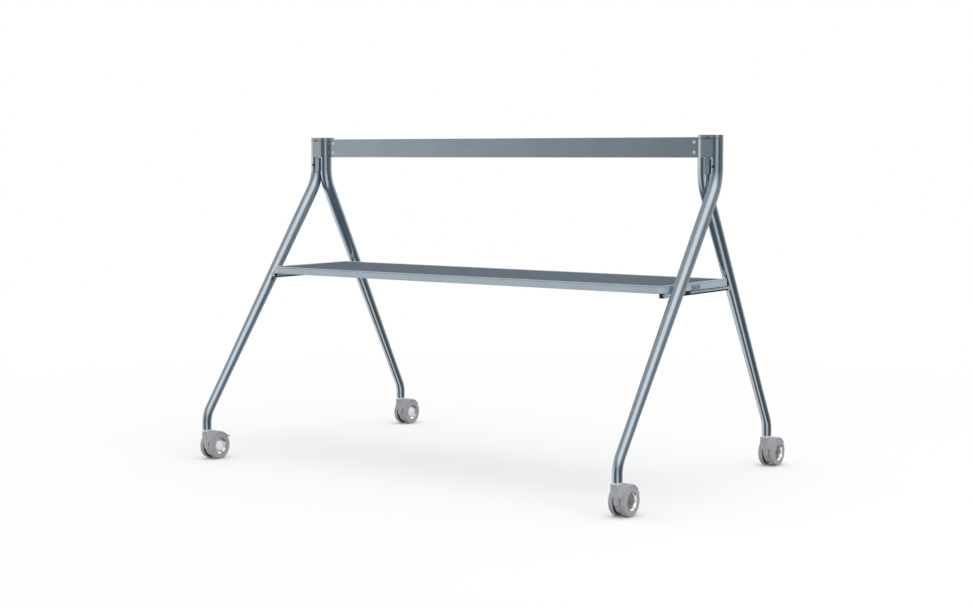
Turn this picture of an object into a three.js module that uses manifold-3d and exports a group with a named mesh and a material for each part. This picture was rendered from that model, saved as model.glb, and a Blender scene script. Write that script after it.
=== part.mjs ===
// Wheeled floor stand for a large flat display.
//
// Two end frames, each of two bent and tapered steel tubes that stand side by side at the
// top and part into a front and a rear leg, carry a tall crossbar and a shelf tray. Every
// leg stands on a twin-wheel caster with open hubs. Millimetres, +X right, +Y back, +Z up,
// the floor at Z = 0.

import * as THREE from 'three';
import { mergeVertices } from 'three/addons/utils/BufferGeometryUtils.js';
import Module from 'manifold-3d';

const wasm = await Module();
wasm.setup();

// Gaps and cuts
const seatGap = 0.3;
const runningGap = 0.5;
const cutOverrun = 5;
const mergeDistance = 0.0001;

// End frames: heights from the floor, places from the middle of the stand
const postTop = 994;
const capHeight = 11;
const footHeight = 94;
const outerPostX = 741.4;
const frontFootSplay = 2.4;
const rearFootSplay = 5.8;
const frontReach = 517.4;
const rearReach = 392;
const upperCornerDrop = 136;
const frontLowerCornerRise = 44;
const rearLowerCornerRise = 38;
const upperBendRadius = 140;
const lowerBendRadius = 80;

// Leg tubes
const tubeTopDiameter = 37.6;
const tubeFootDiameter = 28;
const tubeWall = 2;
const tubeGap = 0.4;
const taperTopHeight = 734;
const taperFootHeight = 234;

// Post caps, covers, tongues and plug holes at the top of the end frames
const coverWidth = 36.4;
const coverThickness = 3.4;
const coverDrop = 63.4;
const capBracketLip = 2.6;
const capPlugDepth = 14;
const capSlotWidth = 8;
const capSlotHeight = 4.4;
const capSlotDepth = 3;
const capSlotDrop = 7;
const spineDrop = 89;
const spineDepth = 13;
const tongueWidth = 15;
const tongueThickness = 5;
const tongueDrop = 67.2;
const tongueLength = 41.8;
const tongueSetback = 1;
const plugHoleDiameter = 8.4;
const plugHoleDrop = 88.4;

// Crossbar, its end brackets and bolts
const barDrop = 5.8;
const barHeight = 57.6;
const barDepth = 20;
const barWall = 2.5;
const barCorner = 3;
const barFrontY = -1;
const barEndToTube = 3.1;
const bracketRearReach = 18.6;
const bracketFrontSetback = 1.5;
const bracketTongueLength = 27;
const boltInset = 10.5;
const boltSpacing = 28.7;
const boltHeadDiameter = 8.6;
const boltHeadHeight = 2;
const boltShankDiameter = 5;
const boltShankLength = 12;
const boltSeatDepth = 0.9;
const boltCrownShare = 0.6;
const boltSkirtShare = 0.3;

// Shelf tray
const shelfEndSetback = 21.4;
const shelfTop = 584;
const shelfThickness = 21;
const shelfFrontReach = 36;
const shelfBackSetback = 46.8;
const shelfFrontCorner = 35;
const shelfBackCorner = 8;
const shelfSheet = 2.4;
const shelfRimWidth = 5;
const shelfRecess = 2;
const shelfFlange = 26;

// Rails and lugs under the shelf ends
const railWidth = 14;
const railHeight = 10.6;
const railEndSetback = 29.4;
const railFrontReach = 20;
const frontLugLength = 32;
const rearLugWidth = 30;
const rearLugHeight = 14;
const rearLugDepth = 52;
const knobDiameter = 9;
const knobLength = 6;
const clipLength = 45;
const clipHeight = 18;
const clipThickness = 1.8;
const clipY = -72.5;
const clipOverhang = 1;
const clipScrewDiameter = 5;
const clipScrewSpacing = 22;
const clipScrewProud = 1.2;

// Casters: a twin-wheel caster trails behind its stem
const wheelRadius = 40;
const wheelWidth = 13;
const wheelShoulder = 3;
const hubRadius = 25;
const hubRim = 1.2;
const hubDishRadius = 19;
const hubDishDepth = 3;
const hubDepth = 8;
const hubDiscThickness = 2;
const hubBossRadius = 8;
const hubBossStart = 1;
const hubBossWidth = 8;
const casterTrail = 34;
const hoodWidth = 23;
const hoodTop = 86;
const hoodFrontY = -11;
const webFrontStep = 3;
const webFrontBottom = 36;
const webReachShare = 0.75;
const webFrontAngle = 200;
const webRearAngle = 350;
const webTailAngle = 37;
const fenderRadius = 43;
const fenderThickness = 5;
const fenderEndAngle = 35;
const fenderFrontY = 14;
const fenderForward = 3;
const axleRadius = 4;
const axleEndProud = 1.5;
const stemRadius = 6;
const stemDepth = 24;
const stemCollarRadius = 13;
const stemCollarBase = 11.5;
const stemPlugDepth = 15;

// Brake pedal on the front casters
const pedalPivotY = 54;
const pedalPivotZ = 60;
const pedalPinRadius = 2.4;
const pedalEyeRadius = 4.6;
const pedalArmWidth = 12;
const pedalPlateWidth = 40;
const pedalPlateFrontY = 70.5;
const pedalPlateRearY = 82;
const pedalPlateZ = 65;
const pedalPressedAngle = 20;
const pedalPlateThickness = 4;
const pedalSlotSpare = 1;
const pedalSlotDrop = 14;
const pedalSlotRise = 14;
const pedalCornerShares = [0.1, 0.1, 1, 1];

// Facets
const tubeSides = 16;
const upperBendSteps = 6;
const lowerBendSteps = 4;
const wheelSides = 28;
const hubSides = 16;
const rodSides = 14;
const smallRodSides = 10;
const cornerSteps = 3;
const hoodSteps = 6;

// Derived places
const tubeTopRadius = tubeTopDiameter / 2;
const tubeFootRadius = tubeFootDiameter / 2;
const innerPostX = outerPostX - tubeTopDiameter - tubeGap;
const valleyX = (outerPostX + innerPostX) / 2;
const tubeTop = postTop - capHeight - seatGap;
const coverBottom = postTop - coverDrop;
const spineBottom = postTop - spineDrop;
const tongueTop = postTop - tongueDrop;
const tongueBottom = tongueTop - tongueLength;
const plugHoleHeight = postTop - plugHoleDrop;
const barTop = postTop - barDrop;
const barBottom = barTop - barHeight;
const shelfHalfWidth = outerPostX - shelfEndSetback;
const shelfBottom = shelfTop - shelfThickness;
const railTop = shelfBottom - seatGap;
const railOuterX = outerPostX - railEndSetback;
const casterHalfWidth = hoodWidth / 2 + runningGap + wheelWidth;
const axleHeight = wheelRadius * Math.cos(Math.PI / wheelSides);
const frontEdge = frontReach + tubeFootRadius;
const rearEdge = rearReach + casterTrail + axleHeight;
const postY = (frontEdge - rearEdge) / 2;

const degrees = Math.PI / 180;

// Materials, one for each finish
const satinSteel = { color: 0x8f9dab, roughness: 0.3, metalness: 0.85 };
const paintedSteel = { color: 0x6f7d8a, roughness: 0.45, metalness: 0.5 };
const trayPaint = { color: 0x76838f, roughness: 0.42, metalness: 0.45 };
const blackPlastic = { color: 0x17191b, roughness: 0.5, metalness: 0 };
const polishedSteel = { color: 0xd9dde1, roughness: 0.15, metalness: 1 };
const casterPlastic = { color: 0x85888c, roughness: 0.55, metalness: 0 };
const tyreRubber = { color: 0x8b8e92, roughness: 0.65, metalness: 0 };

const group = new THREE.Group();

function place(name, geometry, finish, parent = group) {
  const mesh = new THREE.Mesh(geometry, new THREE.MeshStandardMaterial(finish));
  mesh.name = name;
  parent.add(mesh);
  return mesh;
}

// Booleans
function solid(geometry) {
  const bare = geometry.index ? geometry.toNonIndexed() : geometry.clone();
  bare.deleteAttribute('normal');
  bare.deleteAttribute('uv');
  const merged = mergeVertices(bare, mergeDistance);
  return new wasm.Manifold(new wasm.Mesh({
    numProp: 3,
    vertProperties: new Float32Array(merged.attributes.position.array),
    triVerts: new Uint32Array(merged.index.array),
  }));
}

function geometryOf(body) {
  const mesh = body.getMesh();
  const geometry = new THREE.BufferGeometry();
  geometry.setAttribute('position', new THREE.BufferAttribute(new Float32Array(mesh.vertProperties), 3));
  geometry.setIndex(new THREE.BufferAttribute(new Uint32Array(mesh.triVerts), 1));
  return geometry;
}

function joined(first, ...others) {
  return geometryOf(others.reduce((body, other) => body.add(solid(other)), solid(first)));
}

function cut(first, ...tools) {
  return geometryOf(tools.reduce((body, tool) => body.subtract(solid(tool)), solid(first)));
}

// Basic forms
function block(xs, ys, zs) {
  const [x0, x1] = xs;
  const [y0, y1] = ys;
  const [z0, z1] = zs;
  return new THREE.BoxGeometry(x1 - x0, y1 - y0, z1 - z0)
    .translate((x0 + x1) / 2, (y0 + y1) / 2, (z0 + z1) / 2);
}

// A round rod along one axis, from a start place over a length
function rod(axis, radius, length, x, y, z, sides = rodSides) {
  const geometry = new THREE.CylinderGeometry(radius, radius, length, sides);
  geometry.translate(0, length / 2, 0);
  if (axis === 'x') geometry.rotateZ(-Math.PI / 2);
  if (axis === 'z') geometry.rotateX(Math.PI / 2);
  return geometry.translate(x, y, z);
}

// A shape drawn in Y and Z, carried from one X to another
function extrudeAlongX(shape, x0, x1, steps = cornerSteps) {
  const geometry = new THREE.ExtrudeGeometry(shape, {
    depth: x1 - x0, bevelEnabled: false, curveSegments: steps,
  });
  const toX = new THREE.Matrix4().makeBasis(
    new THREE.Vector3(0, 1, 0), new THREE.Vector3(0, 0, 1), new THREE.Vector3(1, 0, 0),
  );
  return geometry.applyMatrix4(toX).translate(x0, 0, 0);
}

// A shape drawn in X and Y, carried from one height to another
function extrudeUp(shape, z0, z1) {
  return new THREE.ExtrudeGeometry(shape, {
    depth: z1 - z0, bevelEnabled: false, curveSegments: cornerSteps,
  }).translate(0, 0, z0);
}

// A rectangle with its own radius at each corner: low-low, high-low, high-high, low-high
function roundedRectangle(u0, u1, v0, v1, radii) {
  const [a, b, c, d] = radii;
  const shape = new THREE.Shape();
  shape.moveTo(u0 + a, v0);
  shape.lineTo(u1 - b, v0);
  shape.absarc(u1 - b, v0 + b, b, -Math.PI / 2, 0);
  shape.lineTo(u1, v1 - c);
  shape.absarc(u1 - c, v1 - c, c, 0, Math.PI / 2);
  shape.lineTo(u0 + d, v1);
  shape.absarc(u0 + d, v1 - d, d, Math.PI / 2, Math.PI);
  shape.lineTo(u0, v0 + a);
  shape.absarc(u0 + a, v0 + a, a, Math.PI, Math.PI * 3 / 2);
  return shape;
}

// Mirror a geometry to the other side of the stand and keep its faces pointing out
function toSide(geometry, side) {
  if (side > 0) return geometry;
  const flipped = geometry.index ? geometry.toNonIndexed() : geometry;
  flipped.scale(-1, 1, 1);
  const places = flipped.attributes.position;
  const first = new THREE.Vector3();
  const last = new THREE.Vector3();
  for (let i = 0; i < places.count; i += 3) {
    first.fromBufferAttribute(places, i);
    last.fromBufferAttribute(places, i + 2);
    places.setXYZ(i, last.x, last.y, last.z);
    places.setXYZ(i + 2, first.x, first.y, first.z);
  }
  flipped.deleteAttribute('normal');
  flipped.deleteAttribute('uv');
  return mergeVertices(flipped, mergeDistance);
}

// Leg tubes: radius falls from the post to the foot over the straight run
function tubeRadiusAt(height) {
  const fall = (taperTopHeight - height) / (taperTopHeight - taperFootHeight);
  const share = THREE.MathUtils.clamp(fall, 0, 1);
  return THREE.MathUtils.lerp(tubeTopRadius, tubeFootRadius, share);
}

// Stations down one leg: a plumb post, a bend, a straight run, a bend and a plumb foot
function legStations(leg, stretch) {
  const top = new THREE.Vector3(leg.postX, 0, tubeTop + stretch);
  const upper = new THREE.Vector3(leg.postX, 0, postTop - upperCornerDrop);
  const lower = new THREE.Vector3(leg.footX, leg.reach, footHeight + leg.lowerRise);
  const foot = new THREE.Vector3(leg.footX, leg.reach, footHeight - stretch);
  const down = new THREE.Vector3(0, 0, -1);
  const along = lower.clone().sub(upper).normalize();
  const halfTurn = Math.tan(down.angleTo(along) / 2);
  const bend = (corner, from, to, radius) => {
    const reach = radius * halfTurn;
    return new THREE.QuadraticBezierCurve3(
      corner.clone().addScaledVector(from, -reach), corner, corner.clone().addScaledVector(to, reach),
    );
  };
  const upperBend = bend(upper, down, along, upperBendRadius);
  const lowerBend = bend(lower, along, down, lowerBendRadius);
  const stations = [{ place: top, heading: down }];
  for (let i = 0; i <= upperBendSteps; i += 1) {
    const t = i / upperBendSteps;
    stations.push({ place: upperBend.getPoint(t), heading: upperBend.getTangent(t) });
  }
  for (const height of [taperTopHeight, taperFootHeight]) {
    const t = (upper.z - height) / (upper.z - lower.z);
    stations.push({ place: upper.clone().lerp(lower, t), heading: along });
  }
  for (let i = 0; i <= lowerBendSteps; i += 1) {
    const t = i / lowerBendSteps;
    stations.push({ place: lowerBend.getPoint(t), heading: lowerBend.getTangent(t) });
  }
  stations.push({ place: foot, heading: down });
  return stations;
}

// Rings of points round the stations, joined into a tube, or into a full bar with no bore
function legTube(leg, { wall = 0, spare = 0, stretch = 0 } = {}) {
  const stations = legStations(leg, stretch);
  const bores = wall > 0 ? [0, wall] : [0];
  const positions = [];
  for (const inset of bores) {
    for (const { place: centre, heading } of stations) {
      const radius = tubeRadiusAt(centre.z) + spare - inset;
      const across = new THREE.Vector3(1, 0, 0).addScaledVector(heading, -heading.x).normalize();
      const square = new THREE.Vector3().crossVectors(heading, across);
      for (let k = 0; k < tubeSides; k += 1) {
        const angle = k * 2 * Math.PI / tubeSides;
        const point = centre.clone()
          .addScaledVector(across, radius * Math.cos(angle))
          .addScaledVector(square, radius * Math.sin(angle));
        positions.push(point.x, point.y, point.z);
      }
    }
  }
  const rings = stations.length;
  const at = (layer, ring, k) => (layer * rings + ring) * tubeSides + (k % tubeSides);
  const faces = [];
  const quad = (a, b, c, d) => faces.push(a, b, c, a, c, d);
  for (let k = 0; k < tubeSides; k += 1) {
    for (let ring = 0; ring < rings - 1; ring += 1) {
      quad(at(0, ring, k), at(0, ring, k + 1), at(0, ring + 1, k + 1), at(0, ring + 1, k));
      if (wall > 0) quad(at(1, ring, k), at(1, ring + 1, k), at(1, ring + 1, k + 1), at(1, ring, k + 1));
    }
    if (wall > 0) {
      quad(at(0, 0, k), at(1, 0, k), at(1, 0, k + 1), at(0, 0, k + 1));
      quad(at(0, rings - 1, k), at(0, rings - 1, k + 1), at(1, rings - 1, k + 1), at(1, rings - 1, k));
    } else if (k > 0 && k < tubeSides - 1) {
      faces.push(at(0, 0, 0), at(0, 0, k + 1), at(0, 0, k));
      faces.push(at(0, rings - 1, 0), at(0, rings - 1, k), at(0, rings - 1, k + 1));
    }
  }
  const geometry = new THREE.BufferGeometry();
  geometry.setAttribute('position', new THREE.Float32BufferAttribute(positions, 3));
  geometry.setIndex(faces);
  return geometry;
}

const frontLeg = {
  postX: outerPostX,
  footX: outerPostX + frontFootSplay,
  reach: -frontReach,
  lowerRise: frontLowerCornerRise,
};
const rearLeg = {
  postX: innerPostX,
  footX: innerPostX + rearFootSplay,
  reach: rearReach,
  lowerRise: rearLowerCornerRise,
};

// The space a leg takes, with the gap that a fitted neighbour keeps
const frontLegSpace = () => legTube(frontLeg, { spare: seatGap, stretch: cutOverrun });
const rearLegSpace = () => legTube(rearLeg, { spare: seatGap, stretch: cutOverrun });

// Place on a leg's centre line at a height of its straight run
function legCentreY(leg, height) {
  const upper = postTop - upperCornerDrop;
  const lower = footHeight + leg.lowerRise;
  return leg.reach * (upper - height) / (upper - lower);
}

const coverBackY = -tubeTopRadius - seatGap;
const coverFrontY = coverBackY - coverThickness;

function makeFrontLeg() {
  const hole = rod('y', plugHoleDiameter / 2, tubeTopRadius,
    outerPostX, -tubeTopRadius - cutOverrun, plugHoleHeight, smallRodSides);
  return cut(legTube(frontLeg, { wall: tubeWall }), hole);
}

// Cap over both tubes and the cover, with a plug in each tube and a slot in its front
function makePostCap() {
  const bottom = tubeTop + seatGap;
  const disc = (x) => rod('z', tubeTopRadius, capHeight, x, 0, bottom, tubeSides);
  const plug = (x) => rod('z', tubeTopRadius - tubeWall - seatGap, capPlugDepth,
    x, 0, bottom - capPlugDepth, tubeSides);
  const front = block([valleyX - coverWidth / 2, valleyX + coverWidth / 2], [coverFrontY, 0],
    [bottom, postTop]);
  const rear = block([innerPostX - tubeTopRadius - capBracketLip, valleyX], [0, bracketRearReach],
    [bottom, postTop]);
  const slot = block(
    [valleyX - capSlotWidth / 2, valleyX + capSlotWidth / 2],
    [coverFrontY - cutOverrun, coverFrontY + capSlotDepth],
    [postTop - capSlotDrop - capSlotHeight / 2, postTop - capSlotDrop + capSlotHeight / 2],
  );
  const over = [disc(outerPostX), front, rear, plug(innerPostX), plug(outerPostX)];
  return cut(joined(disc(innerPostX), ...over), slot);
}

// Filler in the front valley between the two tubes, behind the cover
function makePostSpine() {
  const filler = block([innerPostX, outerPostX], [-tubeTopRadius, -tubeTopRadius + spineDepth],
    [spineBottom, tubeTop]);
  return cut(filler, frontLegSpace(), rearLegSpace());
}

function makeCoverPlate() {
  return block([valleyX - coverWidth / 2, valleyX + coverWidth / 2], [coverFrontY, coverBackY],
    [coverBottom, tubeTop]);
}

// Tongue that stands in the front valley below the cover, on the front filler
function makeLockTongue() {
  const frontY = coverFrontY + tongueSetback;
  const plate = block([valleyX - tongueWidth / 2, valleyX + tongueWidth / 2],
    [frontY, frontY + tongueThickness], [tongueBottom, tongueTop]);
  const filler = block([innerPostX, outerPostX], [-tubeTopRadius - seatGap, 0],
    [spineBottom - seatGap, tubeTop]);
  return cut(plate, filler, frontLegSpace(), rearLegSpace());
}

// Crossbar: a tall hollow bar between the inner posts, drilled and spot-faced for its bolts
const barHalfLength = innerPostX - tubeTopRadius - barEndToTube;
const barMiddle = (barBottom + barTop) / 2;
const boltHeights = [barMiddle - boltSpacing / 2, barMiddle + boltSpacing / 2];

function boltHole(x, z) {
  return rod('y', boltShankDiameter / 2 + seatGap, cutOverrun + boltShankLength + boltSeatDepth,
    x, barFrontY - cutOverrun, z, smallRodSides);
}

function boltSeat(x, z) {
  return rod('y', boltHeadDiameter / 2 + seatGap, cutOverrun + boltSeatDepth,
    x, barFrontY - cutOverrun, z, smallRodSides);
}

function makeCrossbar() {
  const outer = Array(4).fill(barCorner);
  const section = roundedRectangle(barFrontY, barFrontY + barDepth, barBottom, barTop, outer);
  const inner = Array(4).fill(barCorner - barWall);
  section.holes.push(roundedRectangle(barFrontY + barWall, barFrontY + barDepth - barWall,
    barBottom + barWall, barTop - barWall, inner));
  const holes = [];
  for (const side of [-1, 1]) {
    const x = side * (barHalfLength - boltInset);
    for (const height of boltHeights) holes.push(boltHole(x, height), boltSeat(x, height));
  }
  return cut(extrudeAlongX(section, -barHalfLength, barHalfLength), ...holes);
}

// Bracket: a block welded on the inner post, with a tongue inside the bar
function makeBarBracket() {
  const flange = block([barHalfLength + seatGap, innerPostX],
    [barFrontY + bracketFrontSetback, bracketRearReach], [barBottom, tubeTop]);
  const tongue = block([barHalfLength - bracketTongueLength, barHalfLength + 2 * seatGap],
    [barFrontY + barWall + seatGap, barFrontY + barDepth - barWall - seatGap],
    [barBottom + barWall + seatGap, Math.min(barTop - barWall - seatGap, tubeTop)]);
  const holes = boltHeights.map((height) => boltHole(barHalfLength - boltInset, height));
  return cut(joined(flange, tongue), rearLegSpace(), ...holes);
}

function makeBoltProfile(headRadius, headHeight, shankRadius, shankLength) {
  return [
    new THREE.Vector2(0, -headHeight),
    new THREE.Vector2(headRadius * boltCrownShare, -headHeight),
    new THREE.Vector2(headRadius, -headHeight * boltSkirtShare),
    new THREE.Vector2(headRadius, 0),
    new THREE.Vector2(shankRadius, 0),
    new THREE.Vector2(shankRadius, shankLength),
    new THREE.Vector2(0, shankLength),
  ];
}

function makeBolt(x, z) {
  const profile = makeBoltProfile(boltHeadDiameter / 2, boltHeadHeight, boltShankDiameter / 2,
    boltShankLength - seatGap);
  return new THREE.LatheGeometry(profile, smallRodSides)
    .translate(x, barFrontY + boltSeatDepth - seatGap, z);
}

// Places of shelf and rails beside the legs' centre lines at the rails' height
const railBottom = railTop - railHeight;
const railMiddle = (railTop + railBottom) / 2;
const railInnerX = railOuterX - railWidth;
const railFrontY = legCentreY(frontLeg, railMiddle) - railFrontReach;
const shelfFrontY = legCentreY(frontLeg, railMiddle) - shelfFrontReach;
const shelfBackY = legCentreY(rearLeg, railMiddle) - shelfBackSetback;

// Shelf tray of folded sheet: a rim round the top, side walls and a flange turned in below
function trayOutline(inset) {
  const front = Math.max(shelfFrontCorner - inset, shelfSheet);
  const back = Math.max(shelfBackCorner - inset, shelfSheet);
  return roundedRectangle(-shelfHalfWidth + inset, shelfHalfWidth - inset,
    shelfFrontY + inset, shelfBackY - inset, [front, front, back, back]);
}

function makeShelfTray() {
  const deckTop = shelfTop - shelfRecess;
  return cut(
    extrudeUp(trayOutline(0), shelfBottom, shelfTop),
    extrudeUp(trayOutline(shelfRimWidth), deckTop, shelfTop + cutOverrun),
    extrudeUp(trayOutline(shelfSheet), shelfBottom + shelfSheet, deckTop - shelfSheet),
    extrudeUp(trayOutline(shelfFlange), shelfBottom - cutOverrun, shelfBottom + 2 * shelfSheet),
  );
}

// Rail under the shelf end, from beside the front leg to its seat on the rear leg
function makeShelfRail() {
  const rearY = legCentreY(rearLeg, railMiddle) - rearLugDepth / 2;
  return block([railInnerX, railOuterX], [railFrontY, rearY], [railBottom, railTop]);
}

// Lug welded on the inner side of the front leg, beside the rail
function makeFrontLug() {
  const middle = legCentreY(frontLeg, railMiddle);
  const plate = block([railOuterX + seatGap, outerPostX],
    [middle - frontLugLength / 2, middle + frontLugLength / 2], [railBottom, railTop]);
  return cut(plate, frontLegSpace());
}

// Saddle on the front of the rear leg, at the end of the rail
function makeRearLug() {
  const centreY = legCentreY(rearLeg, railMiddle);
  const x = innerPostX + rearFootSplay / 2;
  const saddle = block([x - rearLugWidth / 2, x + rearLugWidth / 2],
    [centreY - rearLugDepth / 2 + seatGap, centreY], [railTop - rearLugHeight, railTop]);
  return cut(saddle, rearLegSpace());
}

function makeShelfKnob() {
  return rod('y', knobDiameter / 2, knobLength, railOuterX - knobDiameter / 2,
    railFrontY - seatGap - knobLength, railMiddle, smallRodSides);
}

// Clip plate on the end face of the tray, with two screw heads
function makeShelfClip() {
  const x = shelfHalfWidth + seatGap;
  const bottom = shelfBottom - clipOverhang;
  const plate = block([x, x + clipThickness], [clipY - clipLength / 2, clipY + clipLength / 2],
    [bottom, bottom + clipHeight]);
  const screws = [-1, 1].map((side) => rod('x', clipScrewDiameter / 2, clipThickness + clipScrewProud,
    x, clipY + side * clipScrewSpacing / 2, bottom + clipHeight / 2, smallRodSides));
  return joined(plate, ...screws);
}

// Caster pieces, drawn about the stem: Y is the distance behind it, Z the height
const axleY = casterTrail;
const fenderCentreY = casterTrail - fenderForward;
const fenderCentreZ = hoodTop - fenderRadius;

function makeStem() {
  const top = footHeight + stemPlugDepth;
  const plugRadius = tubeFootRadius - tubeWall - seatGap;
  const collarTop = footHeight - seatGap;
  const collarBottom = hoodTop + runningGap;
  const profile = [
    new THREE.Vector2(0, hoodTop - stemDepth),
    new THREE.Vector2(stemRadius, hoodTop - stemDepth),
    new THREE.Vector2(stemRadius, collarBottom),
    new THREE.Vector2(stemCollarBase, collarBottom),
    new THREE.Vector2(stemCollarRadius, (collarBottom + collarTop) / 2),
    new THREE.Vector2(stemCollarRadius, collarTop),
    new THREE.Vector2(plugRadius, collarTop),
    new THREE.Vector2(plugRadius, top),
    new THREE.Vector2(0, top),
  ];
  return new THREE.LatheGeometry(profile, tubeSides).rotateX(Math.PI / 2);
}

// Side outline of the web between the wheels
function webOutline() {
  const low = axleHeight * webReachShare;
  const outline = new THREE.Shape();
  outline.moveTo(hoodFrontY, hoodTop);
  outline.lineTo(hoodFrontY + webFrontStep, webFrontBottom);
  outline.absarc(axleY, axleHeight, low, webFrontAngle * degrees, webRearAngle * degrees, false);
  outline.absarc(fenderCentreY, fenderCentreZ, fenderRadius, webTailAngle * degrees, Math.PI / 2, false);
  return outline;
}

// Side outline of the fender over both wheels: flat on top, round behind and underneath
function fenderOutline() {
  const end = fenderEndAngle * degrees;
  const innerRadius = hoodTop - fenderThickness - axleHeight;
  const start = Math.acos((fenderFrontY - axleY) / innerRadius);
  const outline = new THREE.Shape();
  outline.moveTo(fenderFrontY, hoodTop);
  outline.absarc(axleY, axleHeight, innerRadius, start, end, true);
  outline.absarc(fenderCentreY, fenderCentreZ, fenderRadius, end, Math.PI / 2, false);
  return outline;
}

function makeHood(braked) {
  const half = hoodWidth / 2;
  const stemBore = rod('z', stemRadius + runningGap, stemDepth + cutOverrun + runningGap,
    0, 0, hoodTop - stemDepth - runningGap);
  const axleBore = rod('x', axleRadius + seatGap, hoodWidth + 2 * cutOverrun,
    -half - cutOverrun, axleY, axleHeight);
  const tools = [stemBore, axleBore];
  if (braked) {
    const slotHalf = pedalArmWidth / 2 + pedalSlotSpare;
    tools.push(block([-slotHalf, slotHalf],
      [pedalPivotY - pedalEyeRadius - pedalSlotSpare, axleY + wheelRadius + fenderRadius],
      [pedalPivotZ - pedalSlotDrop, pedalPivotZ + pedalSlotRise]));
    tools.push(rod('x', pedalPinRadius + seatGap, hoodWidth + 2 * cutOverrun,
      -half - cutOverrun, pedalPivotY, pedalPivotZ));
  }
  const body = joined(
    extrudeAlongX(webOutline(), -half, half, hoodSteps),
    extrudeAlongX(fenderOutline(), -casterHalfWidth, casterHalfWidth, hoodSteps),
  );
  return cut(body, ...tools);
}

function makeAxle() {
  const half = hoodWidth / 2 + runningGap + hubBossStart + hubBossWidth + axleEndProud;
  return rod('x', axleRadius, 2 * half, -half, axleY, axleHeight, smallRodSides);
}

// A ring turned about the axle, its profile given as radius and distance from the wheel's
// inner face, set on one side of the hood
function turnedRing(points, sides, side) {
  const profile = [...points, points[0]].map(([radius, x]) => new THREE.Vector2(radius, x));
  const ring = new THREE.LatheGeometry(profile, sides, Math.PI / sides).rotateZ(-Math.PI / 2);
  ring.translate(hoodWidth / 2 + runningGap, 0, 0);
  if (side < 0) ring.rotateZ(Math.PI);
  return ring.translate(0, axleY, axleHeight);
}

function makeWheel(side) {
  const bore = hubRadius + seatGap;
  const tread = wheelRadius - wheelShoulder;
  return turnedRing([
    [bore, 0],
    [tread, 0],
    [wheelRadius, wheelShoulder],
    [wheelRadius, wheelWidth - wheelShoulder],
    [tread, wheelWidth],
    [bore, wheelWidth],
  ], wheelSides, side);
}

// Hub: a bright dish that falls to a disc set back in it, with a boss on the axle
function makeHub(side) {
  const bore = axleRadius + seatGap;
  const discBack = wheelWidth - hubDepth - hubDiscThickness;
  const discFront = wheelWidth - hubDepth;
  const rimFront = wheelWidth - seatGap;
  return turnedRing([
    [bore, hubBossStart],
    [hubBossRadius, hubBossStart],
    [hubBossRadius, discBack],
    [hubRadius, discBack],
    [hubRadius, rimFront],
    [hubRadius - hubRim, rimFront],
    [hubDishRadius, rimFront - hubDishDepth],
    [hubDishRadius, discFront],
    [hubBossRadius, discFront],
    [hubBossRadius, hubBossStart + hubBossWidth],
    [bore, hubBossStart + hubBossWidth],
  ], hubSides, side);
}

// Brake pedal: an eye on a cross pin, an arm through the slot and a plate behind the wheels
function makePedal(pressed) {
  const half = pedalArmWidth / 2;
  const arm = new THREE.Shape();
  arm.moveTo(pedalPivotY, pedalPivotZ + pedalEyeRadius);
  arm.lineTo(pedalPlateFrontY, pedalPlateZ + pedalPlateThickness / 2);
  arm.lineTo(pedalPlateRearY, pedalPlateZ + pedalPlateThickness / 2);
  arm.lineTo(pedalPlateRearY, pedalPlateZ - pedalPlateThickness / 2);
  arm.lineTo(pedalPlateFrontY, pedalPlateZ - pedalPlateThickness / 2);
  arm.lineTo(pedalPivotY, pedalPivotZ - pedalEyeRadius);
  const plate = roundedRectangle(-pedalPlateWidth / 2, pedalPlateWidth / 2,
    pedalPlateFrontY, pedalPlateRearY, pedalCornerShares.map((share) => share * pedalPlateThickness));
  const pedal = joined(
    extrudeAlongX(arm, -half, half),
    rod('x', pedalEyeRadius, pedalArmWidth, -half, pedalPivotY, pedalPivotZ),
    rod('x', pedalPinRadius, hoodWidth - 2 * seatGap, -hoodWidth / 2 + seatGap, pedalPivotY, pedalPivotZ,
      smallRodSides),
    extrudeUp(plate, pedalPlateZ - pedalPlateThickness / 2, pedalPlateZ + pedalPlateThickness / 2),
  );
  if (pressed) {
    pedal.translate(0, -pedalPivotY, -pedalPivotZ);
    pedal.rotateX(-pedalPressedAngle * degrees);
    pedal.translate(0, pedalPivotY, pedalPivotZ);
  }
  return pedal;
}

// The whole stand, its middle over the origin
const stand = new THREE.Group();
stand.position.y = postY;
group.add(stand);

const sides = [{ name: 'left', side: -1 }, { name: 'right', side: 1 }];

for (const { name, side } of sides) {
  place(`front_leg_${name}`, toSide(makeFrontLeg(), side), satinSteel, stand);
  place(`rear_leg_${name}`, toSide(legTube(rearLeg, { wall: tubeWall }), side), satinSteel, stand);
  place(`post_cap_${name}`, toSide(makePostCap(), side), paintedSteel, stand);
  place(`post_spine_${name}`, toSide(makePostSpine(), side), paintedSteel, stand);
  place(`cover_plate_${name}`, toSide(makeCoverPlate(), side), paintedSteel, stand);
  place(`lock_tongue_${name}`, toSide(makeLockTongue(), side), paintedSteel, stand);
  place(`bar_bracket_${name}`, toSide(makeBarBracket(), side), paintedSteel, stand);
  place(`shelf_rail_${name}`, toSide(makeShelfRail(), side), paintedSteel, stand);
  place(`front_lug_${name}`, toSide(makeFrontLug(), side), paintedSteel, stand);
  place(`rear_lug_${name}`, toSide(makeRearLug(), side), paintedSteel, stand);
}

place('crossbar', makeCrossbar(), paintedSteel, stand);
place('shelf_tray', makeShelfTray(), trayPaint, stand);

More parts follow.
